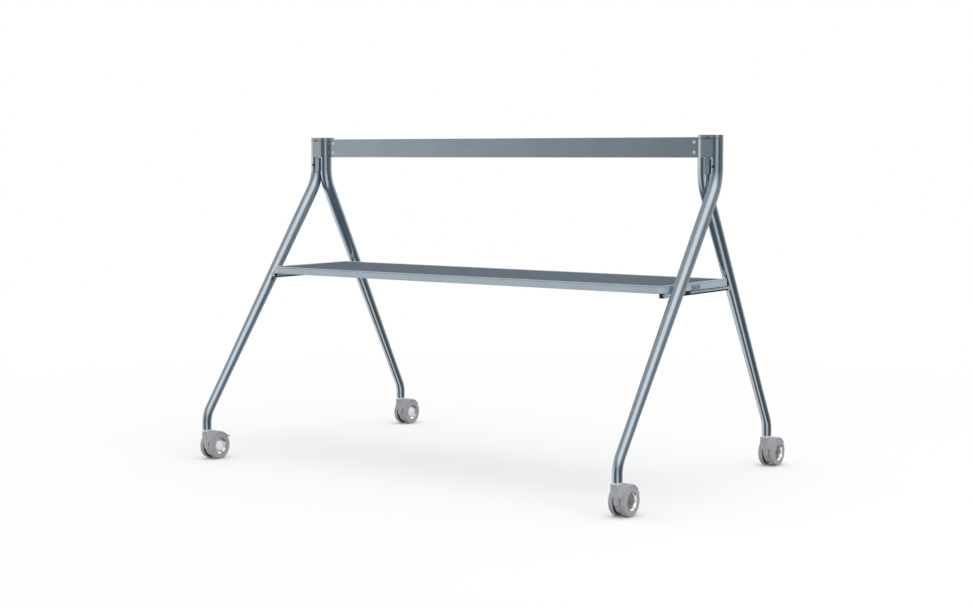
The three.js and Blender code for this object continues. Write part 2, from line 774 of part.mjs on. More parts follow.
for (const { name, side } of sides) {
  place(`bar_bolt_${name}_lower`, makeBolt(side * (barHalfLength - boltInset), boltHeights[0]),
    polishedSteel, stand);
  place(`bar_bolt_${name}_upper`, makeBolt(side * (barHalfLength - boltInset), boltHeights[1]),
    polishedSteel, stand);
  place(`shelf_clip_${name}`, toSide(makeShelfClip(), side), blackPlastic, stand);
  place(`shelf_knob_${name}`, toSide(makeShelfKnob(), side), blackPlastic, stand);
}

const corners = [
  { name: 'front_left', leg: frontLeg, side: -1, brake: 'raised' },
  { name: 'front_right', leg: frontLeg, side: 1, brake: 'pressed' },
  { name: 'rear_left', leg: rearLeg, side: -1, brake: null },
  { name: 'rear_right', leg: rearLeg, side: 1, brake: null },
];

for (const { name, leg, side, brake } of corners) {
  const caster = new THREE.Group();
  caster.position.set(side * leg.footX, leg.reach, 0);
  stand.add(caster);
  place(`stem_${name}`, makeStem(), polishedSteel, caster);
  place(`hood_${name}`, makeHood(brake !== null), casterPlastic, caster);
  place(`axle_${name}`, makeAxle(), polishedSteel, caster);
  for (const [where, wheelSide] of [['outer', side], ['inner', -side]]) {
    place(`wheel_${name}_${where}`, makeWheel(wheelSide), tyreRubber, caster);
    place(`hub_${name}_${where}`, makeHub(wheelSide), polishedSteel, caster);
  }
  if (brake) place(`pedal_${name}`, makePedal(brake === 'pressed'), casterPlastic, caster);
}

export default group;
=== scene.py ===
"""Looks of a wheeled floor stand for a large flat display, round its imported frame.

Metres, +X right, +Y back, +Z up. Every piece is a surface worked out with numpy: rings of
points, each closed on itself, joined into a skin. Its place is in its mesh.
"""
import math

import bpy
import numpy as np
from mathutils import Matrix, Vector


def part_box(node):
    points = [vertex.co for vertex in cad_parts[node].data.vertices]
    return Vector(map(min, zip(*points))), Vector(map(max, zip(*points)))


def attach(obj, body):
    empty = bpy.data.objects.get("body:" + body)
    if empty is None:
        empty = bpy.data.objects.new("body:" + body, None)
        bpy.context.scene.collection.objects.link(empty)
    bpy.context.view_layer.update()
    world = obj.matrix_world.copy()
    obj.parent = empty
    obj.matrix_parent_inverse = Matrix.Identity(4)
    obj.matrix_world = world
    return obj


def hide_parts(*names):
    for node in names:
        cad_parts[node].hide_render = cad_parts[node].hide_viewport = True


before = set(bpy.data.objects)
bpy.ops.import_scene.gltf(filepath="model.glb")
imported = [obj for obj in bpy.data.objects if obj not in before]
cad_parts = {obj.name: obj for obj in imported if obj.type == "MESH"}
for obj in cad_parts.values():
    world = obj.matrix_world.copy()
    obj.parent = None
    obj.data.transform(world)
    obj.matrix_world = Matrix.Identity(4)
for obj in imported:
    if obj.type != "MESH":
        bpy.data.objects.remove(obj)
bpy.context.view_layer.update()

MM = 0.001
SIDES = {"left": -1, "right": 1}

# Surfaces: points nearer than LEAST count as one. One more point beside each rounded edge, a
# part of its radius away, keeps the flat evenly shaded. CRISP is the run of a sharp step.
# A turned piece's face is closed by a flat disc of the radius PIN, or SMALL_PIN, in its middle.
LEAST = 0.01 * MM
SUPPORT_PART = 12
TIGHTEST_PART = 10
CORNER_SHARE = 1.5
CRISP = 0.02 * MM
SHARP_EDGE = 40
PIN = 0.3 * MM
SMALL_PIN = 0.2 * MM

# End frames, from the floor and from the middle of the stand
POST_TOP = 994 * MM
CAP_HEIGHT = 11 * MM
FOOT_HEIGHT = 94 * MM
OUTER_POST_X = 741.4 * MM
TUBE_TOP_RADIUS = 18.8 * MM
TUBE_FOOT_RADIUS = 14 * MM
TUBE_GAP = 0.4 * MM
INNER_POST_X = OUTER_POST_X - 2 * TUBE_TOP_RADIUS - TUBE_GAP
VALLEY_X = (OUTER_POST_X + INNER_POST_X) / 2
TAPER_TOP = 734 * MM
TAPER_FOOT = 234 * MM
UPPER_CORNER_DROP = 136 * MM
UPPER_BEND = 140 * MM
LOWER_BEND = 80 * MM
FRONT_SPLAY = 2.4 * MM
FRONT_REACH = -517.4 * MM
FRONT_CORNER_RISE = 44 * MM
REAR_SPLAY = 5.8 * MM
REAR_REACH = 392 * MM
REAR_CORNER_RISE = 38 * MM
BEND_STEPS = 24
RUN_PARTS = 24
POST_PARTS = 6
TUBE_EDGE = 0.6 * MM
CAP_GAP = 0.3 * MM
BAR_BEHIND_POST = 9 * MM
POST_Y = sum(corner.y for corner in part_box("crossbar")) / 2 - BAR_BEHIND_POST
TUBE_TOP = POST_TOP - CAP_HEIGHT - CAP_GAP

# Post trim
COVER_HALF = 18.2 * MM
COVER_FRONT = -22.5 * MM
CAP_REAR = 18.6 * MM
CAP_LIP = 2.6 * MM
CAP_EDGE = 0.7 * MM
SLOT_HALF = 4 * MM
SLOT_DEPTH = 3 * MM
SLOT_Z = POST_TOP - 8.6 * MM
SLOT_X = 3 * MM
SLOT_RISE = 2.2 * MM
# Half the thickness of the dark sheet at the slot's back, which is painted shade
SLOT_SHADE_HALF = 1 * MM
# A black dome on the outer tube: painted shade for the inside of a round hole
HOLE_SHADE_Z = 905.6 * MM
HOLE_SHADE_RADIUS = 4.3 * MM
HOLE_SHADE_DEPTH = 1 * MM
SPINE_HALF = 6 * MM
SPINE_SETBACK = 7 * MM
SPINE_LAP = 1 * MM
TAIL_LAP = 2 * MM

# Crossbar
BOLT_HEAD = 2.2 * MM
BOLT_SHANK = 10 * MM
BOLT_GROWTH = 1.15

# Shelf tray
TRAY_LOW, TRAY_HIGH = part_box("shelf_tray")
FRONT_CORNER = 35 * MM
BACK_CORNER = 8 * MM
RIM = 14 * MM
RECESS = 0.8 * MM
GROOVE = 1.7 * MM
GROOVE_DROP = 1.5 * MM
SHEET = 2.4 * MM
FLANGE = 26 * MM
DECK_HOLD = 12 * MM
DECK_SEAM = 0.4 * MM
# Height of the black strips of painted shade along the top and bottom of each rail
RAIL_SHADE_STRIP = 2 * MM
RAIL_PAD_LOW = 706 * MM
RAIL_PAD_HIGH = 717.5 * MM
RAIL_PADS = ((-110 * MM, 6 * MM), (-80 * MM, 19 * MM))
CLIP_INSET = 1.5 * MM
CLIP_SCREWS = 11 * MM
CLIP_SCREW_RADIUS = 2.6 * MM
LUG_INSET = 9 * MM
RAIL_LAP = 0.3 * MM
KNOB_FACE = 5 * MM
KNOB_TOP = 6 * MM

# Casters, about the stem: y is the distance behind it
TRAIL = 34 * MM
HOOD_TOP = 86 * MM
HOOD_FRONT = -11 * MM
DECK = 5 * MM
SEAM = 1.3 * MM
WEB_HALF = 9.6 * MM
WEB_CORNER = (-3.5 * MM, 33 * MM)
HOOD_HALF = 25 * MM
FENDER_RADIUS = 43 * MM
CHEEK_FRONT = -9.5 * MM
CHEEK_LENGTH = 19 * MM
CHEEK_LOW = 52 * MM
FENDER_END = 35
WHEEL_START = 12 * MM
WHEEL_WIDTH = 13 * MM
WHEEL_RADIUS = 40 * MM
HUB_RADIUS = 25 * MM
# The black discs on the wheels' faces towards the web are painted shade
SHADE_DISC_RADIUS = 37 * MM
AXLE_Z = sum(corner.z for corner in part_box("axle_front_left")) / 2
AXLE = (TRAIL, AXLE_Z)
WEB_REACH = 0.86 * AXLE_Z
FENDER_CENTRE = (TRAIL - 3 * MM, HOOD_TOP - FENDER_RADIUS)
FENDER_INNER = WHEEL_RADIUS + 0.4 * MM
WEB_TO_DECK = 0.3 * MM
HOOD_EDGE = 1.5 * MM
HOOD_ROUND = 1.4 * MM
SEAM_INSET = 1.2 * MM
SHADE_DISC_BORE = 8.3 * MM
SHADE_DISC_EDGE = 0.3 * MM
LINER_BORE = 8 * MM
HUB_FLOOR = 3.9 * MM
COLLAR_BORE = 5.8 * MM
COLLAR_FOOT = 12 * MM
COLLAR_RADIUS = 13 * MM
WHEEL_SIDES = 96

# Studio: levels of light, colours as shares of white
MATT_LEVEL = 1.0
SHADE_TINT = (0.93, 1.0, 1.06)
PANEL_TINT = (1.06, 1.0, 0.97)
WHITE = (1, 1, 1, 1)
FLOOR_REACH = 30
FLOOR_DROP = 0.0004
FLOOR_GREY = 0.5
FLOOR_GLOW = 0.43
# Reach of the painted contact shadow in the floor's glow
CONTACT_REACH = 0.032
FLOOR_FADE = (1.3, 3.2)
LAMP_TARGET = (0, 0, 0.45)


# ---------------------------------------------------------------- lines and rings

def soften(points, radii, closed=False, steps=5):
    """A line through points, each corner turned into a parabola.

    The parabola leaves the line one radius before the corner and is back on it one radius
    after: (1-t)^2 a + 2t(1-t) corner + t^2 b. One more point stands on the straight beside
    each end of it, at most a third of the way along what is left of the straight.
    """
    points = np.asarray(points, float)
    radii = np.broadcast_to(np.asarray(radii, float), len(points))
    t = np.linspace(0, 1, steps + 1)[:, None]
    line = []
    for i, (corner, radius) in enumerate(zip(points, radii)):
        at_end = not closed and i in (0, len(points) - 1)
        if at_end or radius <= 0:
            line.append(corner[None])
            continue
        ends = []
        for j in (i - 1, (i + 1) % len(points)):
            reach = np.linalg.norm(points[j] - corner)
            spare = max(reach - radius - radii[j], 0)
            way = (points[j] - corner) / reach
            beside = radius + min(radius / SUPPORT_PART, spare / 3)
            ends.append((corner + way * radius, corner + way * beside, spare))
        (a, before, gap_before), (b, after, gap_after) = ends
        curve = (1 - t) ** 2 * a + 2 * t * (1 - t) * corner + t ** 2 * b
        line += [before[None]] if gap_before > LEAST else []
        line.append(curve)
        line += [after[None]] if gap_after > LEAST else []
    return np.concatenate(line)


def arc(centre, radius, start, end, steps):
    """Points on a circle from one angle to another, in degrees."""
    angles = np.radians(np.linspace(start, end, steps + 1))
    return np.stack([centre[0] + radius * np.cos(angles), centre[1] + radius * np.sin(angles)], 1)


def inset_by(outline):
    """The function that moves a closed anticlockwise outline inwards.

    Each corner moves along the sum of its two edges' outward normals, over one plus their
    dot product, so that every edge moves by the inset.
    """
    edges = np.roll(outline, -1, axis=0) - outline
    normals = np.stack([edges[:, 1], -edges[:, 0]], 1)
    normals /= np.linalg.norm(normals, axis=1, keepdims=True)
    before = np.roll(normals, 1, axis=0)
    share = 1 + np.sum(normals * before, axis=1, keepdims=True)
    mitre = (normals + before) / share
    return lambda inset: outline - inset * mitre


def rectangle(low, high, radii, steps=8):
    """The function that gives a rounded rectangle, moved inwards by an inset.

    Its corners are quarter circles that keep their centres and lose the inset from their
    radius, down to a tenth of it.
    """
    low, high = np.asarray(low, float), np.asarray(high, float)
    radii = np.broadcast_to(np.asarray(radii, float), 4)
    signs = np.array([[-1, -1], [1, -1], [1, 1], [-1, 1]])

    def ring(inset):
        corners = []
        for i, (sign, radius) in enumerate(zip(signs, radii)):
            tight = max(radius - inset, radius / TIGHTEST_PART)
            corner = np.where(sign > 0, high - inset, low + inset)
            start = 180 + 90 * i
            round_part = arc(corner - sign * tight, tight, start, start + 90, steps)
            way = np.round(unit(round_part[[0, -1]] - round_part[[1, -2]]))
            beside = round_part[[0, -1]] + way * tight / SUPPORT_PART
            corners += [beside[:1], round_part, beside[1:]]
        return np.concatenate(corners)

    return ring


def unit(vectors):
    """Vectors scaled to a length of one."""
    return vectors / np.linalg.norm(vectors, axis=-1, keepdims=True)


# ---------------------------------------------------------------- skins

def skin(rings, hoop=False):
    """Points and faces of a closed skin over rings, an array of rings x points x 3.

    Neighbouring rings are joined by quads. The two end rings are closed with a flat face
    each, or joined to one another in a hoop. Faces are turned so that they point outwards:
    the sum of each triangle's dot product of corner and crossed corners is positive.
    """
    count, around, _ = rings.shape
    index = np.arange(count * around).reshape(count, around)
    lower = index if hoop else index[:-1]
    upper = np.roll(index, -1, axis=0) if hoop else index[1:]
    quads = np.stack([lower, np.roll(lower, -1, 1), np.roll(upper, -1, 1), upper], -1)
    quads = quads.reshape(-1, 4)
    points = rings.reshape(-1, 3)
    a, b, c, d = (points[quads[:, i]] - points.mean(0) for i in range(4))
    volume = np.sum(a * np.cross(b, c)) + np.sum(a * np.cross(c, d))
    ends = [] if hoop else [index[0][::-1], index[-1]]
    for end in ends:
        fan = points[end] - points.mean(0)
        volume += np.sum(fan[0] * np.cross(fan[1:-1], fan[2:]).sum(0))
    faces = quads.tolist() + [end.tolist() for end in ends]
    if volume < 0:
        faces = [face[::-1] for face in faces]
    return points, faces


def slab(ring, profile, axis="z", hoop=False):
    """A skin from one outline: each profile point is (inset, height along the axis).

    The outline lies in the other two axes, in the order y z, z x or x y.
    """
    flat = np.stack([ring(inset) for inset, _ in profile])
    heights = np.broadcast_to(np.asarray(profile, float)[:, 1][:, None], flat.shape[:2])
    rings = np.concatenate([flat, heights[..., None]], axis=2)
    return skin(np.roll(rings, {"x": 1, "y": 2, "z": 0}[axis], axis=2), hoop)


def rounded_edge(low, high, radius, steps=4):
    """A slab's profile between two heights, both edges a quarter circle."""
    angles = np.radians(np.linspace(0, 90, steps + 1))
    beside = radius / SUPPORT_PART
    inset = np.concatenate([[radius + beside], radius * (1 - np.sin(angles)), [0]])
    rise = np.concatenate([[0], radius * (1 - np.cos(angles)), [radius + beside]])
    return np.concatenate([
        np.stack([inset, low + rise], 1),
        np.stack([inset, high - rise], 1)[::-1],
    ])


def box(low, high, edge, corner=None, axis="z", steps=4):
    """A block with rounded edges: a rounded rectangle along one axis."""
    low, high = np.minimum(low, high), np.maximum(low, high)
    i = "xyz".index(axis)
    flat = [(i + 1) % 3, (i + 2) % 3]
    ring = rectangle(low[flat], high[flat], corner or edge * CORNER_SHARE, steps)
    return slab(ring, rounded_edge(low[i], high[i], edge, steps), axis)


def turned(profile, centre, axis="z", way=1, around=64, hoop=False):
    """A profile of (radius, distance along the axis) turned about an axis through centre."""
    profile = np.asarray(profile, float)
    angle = np.linspace(0, 2 * math.pi, around, endpoint=False)
    radius = profile[:, 0][:, None]
    rings = np.stack([
        radius * np.cos(angle), radius * np.sin(angle),
        np.broadcast_to(way * profile[:, 1][:, None], (len(profile), around)),
    ], axis=2)
    return skin(np.roll(rings, {"x": 1, "y": 2, "z": 0}[axis], axis=2) + np.asarray(centre), hoop)


def pipe(path, radius, around=64):
    """A round tube along a path in a plane near x = constant.

    Each ring is centre + radius (cos a across + sin a square), where across is +X without
    its share along the path, and square is the path's heading crossed with across.
    """
    heading = unit(np.gradient(path, axis=0))
    across = np.array([1.0, 0, 0]) - heading * heading[:, :1]
    across = unit(across)
    square = np.cross(heading, across)
    angle = np.linspace(0, 2 * math.pi, around, endpoint=False)[None, :, None]
    return skin(path[:, None] + radius[:, None, None]
                * (across[:, None] * np.cos(angle) + square[:, None] * np.sin(angle)))


def mirrored(shell, side):
    """The same shell, or its mirror image in the plane x = 0 with its faces turned."""
    points, faces = shell
    if side > 0:
        return shell
    return points * [-1, 1, 1], [face[::-1] for face in faces]


def piece(name, shells, finish, body, stands_for=()):
    """One object of several closed shells, riding on a body of the frame."""
    points, faces, count = [], [], 0
    for shell_points, shell_faces in shells:
        points.append(shell_points)
        faces += [[i + count for i in face] for face in shell_faces]
        count += len(shell_points)
    mesh = bpy.data.meshes.new(name)
    mesh.from_pydata(np.concatenate(points).tolist(), [], faces)
    mesh.polygons.foreach_set("use_smooth", np.ones(len(mesh.polygons), bool))
    mesh.set_sharp_from_angle(angle=math.radians(SHARP_EDGE))
    mesh.materials.append(finish)
    made = bpy.data.objects.new(name, mesh)
    bpy.context.scene.collection.objects.link(made)
    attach(made, body)
    if stands_for:
        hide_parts(*stands_for)


def corners_of(node):
    """The low and the high corner of a CAD node's box, as arrays."""
    low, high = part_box(node)
    return np.array(low), np.array(high)


# ---------------------------------------------------------------- shader maths

class Signal:
    """The value of a shader socket. Arithmetic on it adds Math nodes."""

    def __init__(self, maker, socket):
        self.maker = maker
        self.socket = socket

    def math(self, operation, *values):
        return self.maker.node("Math", {"operation": operation}, dict(enumerate(values)))["Value"]

    def __add__(self, other):
        return self.math("ADD", self, other)

    def __sub__(self, other):
        return self.math("SUBTRACT", self, other)

    def __rsub__(self, other):
        return self.math("SUBTRACT", other, self)

    def __mul__(self, other):
        return self.math("MULTIPLY", self, other)

    def __neg__(self):
        return self.math("MULTIPLY", self, -1)

    def __abs__(self):
        return self.math("ABSOLUTE", self)

    __radd__ = __add__
    __rmul__ = __mul__


class Outputs:
    """A made node's outputs, by name, as signals."""

    def __init__(self, maker, node):
        self.maker = maker
        self.node = node

    def __getitem__(self, name):
        return Signal(self.maker, self.node.outputs[name])


class Maker:
    """Adds nodes to one material's or the world's tree."""

    def __init__(self, owner):
        owner.use_nodes = True
        self.tree = owner.node_tree
        self.tree.nodes.clear()

    def node(self, kind, settings=None, sockets=None):
        """A node of a kind. Settings come first, then the values or links of its sockets."""
        made = self.tree.nodes.new("ShaderNode" + kind)
        for key, value in (settings or {}).items():
            setattr(made, key, value)
        for key, value in (sockets or {}).items():
            socket = made.inputs[key]
            if isinstance(value, Signal):
                self.tree.links.new(value.socket, socket)
            else:
                socket.default_value = value
        return Outputs(self, made)

    def step(self, value, start, end):
        """0 below start, 1 above end and a smooth rise between them."""
        return self.node("MapRange", {"interpolation_type": "SMOOTHSTEP"},
                         {"Value": value, "From Min": start, "From Max": end})["Result"]

    def noise(self, scale, detail):
        """Noise from 0 to 1 on the object's own coordinates, in spots per metre."""
        place = self.node("TexCoord")["Object"]
        return self.node("TexNoise", {}, {
            "Vector": place, "Scale": scale, "Detail": detail})["Fac"]

    def larger(self, a, b):
        """The larger of two signals."""
        return self.node("Math", {"operation": "MAXIMUM"}, {0: a, 1: b})["Value"]

    def blend(self, share, a, b):
        """From colour a to colour b by a share."""
        a, b = ((*colour, 1) for colour in (a, b))
        return self.node("Mix", {"data_type": "RGBA"}, {0: share, 6: a, 7: b})[2]


ROUGH_SWING = 0.06
MOTTLE_DETAIL = 3
GRAIN_DETAIL = 2
FINE_GRAIN = 0.00002


def finish_of(name, dark, light, rough, mottle, grain, bump, metallic=0.0,
              grain_depth=FINE_GRAIN):
    """A material whose colour drifts between two shades in soft spots.

    The mottle noise moves the colour and, with the grain, the roughness; the fine grain
    also lifts the surface by its depth through a bump.
    """
    material = bpy.data.materials.new(name)
    make = Maker(material)
    spots = make.noise(mottle, MOTTLE_DETAIL)
    fine = make.noise(grain, GRAIN_DETAIL)
    colour = make.blend(make.step(spots, 0.3, 0.7), dark, light)
    roughness = rough + (spots - 0.5) * ROUGH_SWING + (fine - 0.5) * ROUGH_SWING
    relief = make.node("Bump", {}, {
        "Height": fine, "Strength": bump, "Distance": grain_depth})["Normal"]
    surface = make.node("BsdfPrincipled", {}, {
        "Base Color": colour, "Roughness": roughness, "Metallic": metallic, "Normal": relief,
    })["BSDF"]
    make.node("OutputMaterial", {}, {"Surface": surface})
    return material


satin_metal = finish_of("satin_blue_grey_metal", (0.41, 0.495, 0.565), (0.44, 0.53, 0.605), 0.17,
                        metallic=1.0, mottle=18, grain=2600, bump=0.06)
post_paint = finish_of("post_trim_paint", (0.43, 0.515, 0.58), (0.46, 0.545, 0.615), 0.3,
                       metallic=1.0, mottle=25, grain=2600, bump=0.1)
bar_paint = finish_of("crossbar_paint", (0.45, 0.535, 0.6), (0.48, 0.57, 0.635), 0.28,
                      metallic=1.0, mottle=14, grain=2600, bump=0.1)
# The deck's dark paint is painted shade: the tray's own paint made darker for its top
deck_painted_shade = finish_of("painted_shade_tray_deck", (0.075, 0.106, 0.14), (0.086, 0.118, 0.154), 0.55,
                       mottle=12, grain=1900, bump=0.15, grain_depth=0.00004)
tray_paint = finish_of("tray_edge_paint", (0.475, 0.57, 0.645), (0.5, 0.6, 0.67), 0.42,
                       metallic=0.15, mottle=16, grain=1900, bump=0.15, grain_depth=0.00004)
clip_plastic = finish_of("dark_blue_moulded_plastic", (0.05, 0.062, 0.08), (0.065, 0.08, 0.1), 0.42,
                         mottle=90, grain=2400, bump=0.3, grain_depth=0.00005)
black_plastic = finish_of("black_moulded_plastic", (0.008, 0.008, 0.009),
                          (0.014, 0.014, 0.016), 0.5, mottle=90, grain=2400,
                          bump=0.3, grain_depth=0.00005)
clip_paint = finish_of("clip_blue_grey_plastic", (0.22, 0.28, 0.345), (0.26, 0.32, 0.39), 0.45,
                       mottle=90, grain=2400, bump=0.3, grain_depth=0.00005)
bolt_steel = finish_of("bright_bolt_steel", (0.76, 0.8, 0.85), (0.82, 0.86, 0.9), 0.35,
                       metallic=0.15, mottle=120, grain=2200, bump=0.08)
hub_chrome = finish_of("hub_chrome", (0.84, 0.85, 0.88), (0.92, 0.93, 0.95), 0.22,
                       metallic=1.0, mottle=80, grain=1800, bump=0.03)
# Matt white for the inner hub discs: a painted reflection standing for bright chrome
hub_painted_reflection = finish_of("hub_disc_painted_reflection", (0.94, 0.945, 0.95), (0.97, 0.97, 0.975), 0.25,
                      mottle=80, grain=1800, bump=0.04)
collar_steel = finish_of("collar_steel", (0.78, 0.8, 0.83), (0.84, 0.86, 0.88), 0.3,
                         metallic=0.35, mottle=80, grain=1800, bump=0.04)
# Dark metal for the outer hub discs and the axle ends: painted shade for the deep hub recess
hub_painted_shade = finish_of("hub_dark_metal", (0.29, 0.293, 0.302), (0.35, 0.353, 0.362), 0.35,
                     metallic=0.6, mottle=80, grain=1800, bump=0.06)
caster_grey = finish_of("caster_grey_plastic", (0.405, 0.418, 0.442), (0.43, 0.443, 0.467), 0.4,
                        mottle=60, grain=2100, bump=0.25, grain_depth=0.00005)
tread_grey = finish_of("wheel_grey_rubber", (0.36, 0.37, 0.386), (0.395, 0.405, 0.42), 0.6,
                       mottle=70, grain=1700, bump=0.35, grain_depth=0.00006)


# ---------------------------------------------------------------- end frames

def evenly_between(start, end, parts):
    """The points between start and end that cut the line between them into equal parts."""
    return start + (end - start) * np.linspace(0, 1, parts + 1)[1:-1, None]


def leg_path(post_x, foot_x, reach, lower_rise):
    """A leg's centre line: plumb post, bend, straight run, bend, plumb foot.

    Each bend is the parabola that the corner's two tangent points give, its reach from the
    corner the bend radius times the tangent of half the turn.
    """
    top = np.array([post_x, 0, TUBE_TOP])
    upper = np.array([post_x, 0, POST_TOP - UPPER_CORNER_DROP])
    lower = np.array([foot_x, reach, FOOT_HEIGHT + lower_rise])
    foot = np.array([foot_x, reach, FOOT_HEIGHT])
    along = unit(lower - upper)
    half_turn = math.tan(math.acos(-along[2]) / 2)
    reaches = [0, UPPER_BEND * half_turn, LOWER_BEND * half_turn, 0]
    bends = soften([top, upper, lower, foot], reaches, steps=BEND_STEPS)
    gaps = np.linalg.norm(np.diff(bends, axis=0), axis=1)
    longest = np.argmax(gaps)
    post = evenly_between(bends[0], bends[1], POST_PARTS)
    run = evenly_between(bends[longest], bends[longest + 1], RUN_PARTS)
    path = np.concatenate([bends[:1], post, bends[1:longest + 1], run, bends[longest + 1:]])
    return path + [0, POST_Y, 0]


def make_leg(post_x, foot_x, reach, lower_rise):
    """A tube along the leg's path, its radius falling evenly over the straight run.

    The foot is rounded over: the radius falls by a quarter circle over the last bit.
    """
    path = leg_path(post_x, foot_x, reach, lower_rise)
    fall = np.clip((TAPER_TOP - path[:, 2]) / (TAPER_TOP - TAPER_FOOT), 0, 1)
    radius = TUBE_TOP_RADIUS + (TUBE_FOOT_RADIUS - TUBE_TOP_RADIUS) * fall
    angle = np.radians(np.linspace(0, 90, 5))[:, None]
    lift = TUBE_EDGE * (1 - np.cos(angle)) * [0, 0, 1]
    bottom = path[-1] + lift[::-1]
    path = np.concatenate([path[:-1], bottom])
    rounded = radius[-1] - TUBE_EDGE * (1 - np.sin(angle[::-1, 0]))
    radius = np.concatenate([radius[:-1], rounded])
    return pipe(path, radius)


FRONT_LEG = (OUTER_POST_X, OUTER_POST_X + FRONT_SPLAY, FRONT_REACH, FRONT_CORNER_RISE)
REAR_LEG = (INNER_POST_X, INNER_POST_X + REAR_SPLAY, REAR_REACH, REAR_CORNER_RISE)

for name, side in SIDES.items():
    for which, leg in (("front", FRONT_LEG), ("rear", REAR_LEG)):
        piece(f"{which}_tube_{name}", [mirrored(make_leg(*leg), side)], satin_metal, "frame",
              [f"{which}_leg_{name}"])


def cap_outline():
    """The cap seen from above: a straight front, both tubes' rounds, a straight back."""
    spread = VALLEY_X - INNER_POST_X
    meet = math.degrees(math.acos((spread - COVER_HALF) / TUBE_TOP_RADIUS))
    slot = SLOT_X + np.array([-SLOT_HALF - CRISP, -SLOT_HALF, SLOT_HALF, SLOT_HALF + CRISP])
    xs = np.sort([-COVER_HALF, COVER_HALF, *slot])
    flat = np.stack([xs, np.full(len(xs), COVER_FRONT)], 1)
    right = arc((spread, 0), TUBE_TOP_RADIUS, -90 - (90 - meet), 90, 40)
    left = arc((-spread, 0), TUBE_TOP_RADIUS, 180, 270 + (90 - meet), 20)
    far = -spread - TUBE_TOP_RADIUS - CAP_LIP
    behind = [(spread, CAP_REAR), (far, CAP_REAR), (far, 0), (-spread - TUBE_TOP_RADIUS, 0)]
    back = soften(behind, [0, 2 * MM, 1 * MM, 0])[1:-1]
    return np.concatenate([flat, right, back, left])


def make_cap():
    """The cap's outline carried up, both edges rounded, with the slot pressed into its front."""
    edges = rounded_edge(TUBE_TOP + CAP_GAP, POST_TOP, CAP_EDGE)
    low, high = SLOT_Z - SLOT_RISE, SLOT_Z + SLOT_RISE
    rows = [low - CRISP, low, high, high + CRISP]
    half = len(edges) // 2
    profile = np.concatenate([edges[:half], [(0, z) for z in rows], edges[half:]])
    points, faces = slab(inset_by(cap_outline()), profile)
    in_slot = ((abs(points[:, 0] - SLOT_X) < SLOT_HALF + CRISP / 2)
               & (points[:, 1] < COVER_FRONT + CRISP)
               & (abs(points[:, 2] - SLOT_Z) < SLOT_RISE + CRISP / 2))
    points[:, 1] += np.where(in_slot, SLOT_DEPTH, 0)
    return points + [VALLEY_X, POST_Y, 0], faces


def make_spine():
    """The filler between the tubes: full width behind the cover, narrow and set back below it."""
    low, high = corners_of("post_spine_right")
    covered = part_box("cover_plate_right")[0].z
    tail_low = [VALLEY_X - SPINE_HALF, low[1] + SPINE_SETBACK, low[2]]
    tail_high = [VALLEY_X + SPINE_HALF, high[1], covered + TAIL_LAP]
    return [box([low[0], low[1], covered + SPINE_LAP], high, 0.3 * MM, 0.4 * MM),
            box(tail_low, tail_high, 0.6 * MM, 1 * MM)]


def trim_box(node, edge, corner=None):
    """A block with rounded edges in a CAD node's box, its corners rounded about y."""
    return box(*corners_of(node), edge, corner, "y")


for name, side in SIDES.items():
    piece(f"cap_{name}", [mirrored(make_cap(), side)], post_paint, "frame",
          [f"post_cap_{name}"])
    # A dark plastic sheet at the back of the cap's slot: painted shade for the dark inside the slot
    slot_back = COVER_FRONT + SLOT_DEPTH + POST_Y
    slot_low = [VALLEY_X + SLOT_X - SLOT_HALF, slot_back - SLOT_SHADE_HALF, SLOT_Z - SLOT_RISE]
    slot_high = [VALLEY_X + SLOT_X + SLOT_HALF, slot_back + SLOT_SHADE_HALF, SLOT_Z + SLOT_RISE]
    piece(f"cap_slot_painted_shade_{name}", [mirrored(box(slot_low, slot_high, 0.3 * MM), side)],
          clip_plastic, "frame")
    piece(f"cover_{name}", [trim_box(f"cover_plate_{name}", 0.7 * MM)], post_paint,
          "frame", [f"cover_plate_{name}"])
    piece(f"tongue_{name}", [trim_box(f"lock_tongue_{name}", 0.8 * MM, 1.6 * MM)],
          post_paint, "frame", [f"lock_tongue_{name}"])
    piece(f"spine_{name}", [mirrored(shell, side) for shell in make_spine()], post_paint,
          "frame", [f"post_spine_{name}"])
    # A black dome on the outer tube: painted shade for the inside of a round hole there
    plug = soften([(PIN, 1.4 * MM), (3.6 * MM, 1.2 * MM), (HOLE_SHADE_RADIUS, 0.5 * MM),
                   (HOLE_SHADE_RADIUS, -HOLE_SHADE_DEPTH), (PIN, -HOLE_SHADE_DEPTH)],
                  [0, 0.8 * MM, 0.4 * MM, 0, 0])
    centre = (side * OUTER_POST_X, POST_Y - TUBE_TOP_RADIUS, HOLE_SHADE_Z)
    piece(f"leg_hole_painted_shade_{name}", [turned(plug, centre, "y", -1, 32)], black_plastic, "frame")

# ---------------------------------------------------------------- crossbar

piece("bar", [box(*corners_of("crossbar"), 0.6 * MM, 3 * MM, "x", 6)], bar_paint, "frame",
      ["crossbar"])

for name, side in SIDES.items():
    for height in ("lower", "upper"):
        node = f"bar_bolt_{name}_{height}"
        low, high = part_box(node)
        seat = low.y + BOLT_HEAD
        centre = ((low.x + high.x) / 2, seat, (low.z + high.z) / 2)
        radius = BOLT_GROWTH * (high.z - low.z) / 2
        head = soften([(SMALL_PIN, BOLT_HEAD), (0.35 * radius, BOLT_HEAD),
                       (0.85 * radius, 1.9 * MM), (radius, 1.0 * MM), (radius, 0),
                       (0.5 * radius, 0), (0.5 * radius, -BOLT_SHANK),
                       (SMALL_PIN, -BOLT_SHANK)],
                      [0, 0.5 * MM, 0.5 * MM, 0.4 * MM, 0.1 * MM, 0, 0, 0])
        piece(f"bolt_{name}_{height}", [turned(head, centre, "y", -1, 32)], bolt_steel, "frame",
              [node])

# ---------------------------------------------------------------- shelf

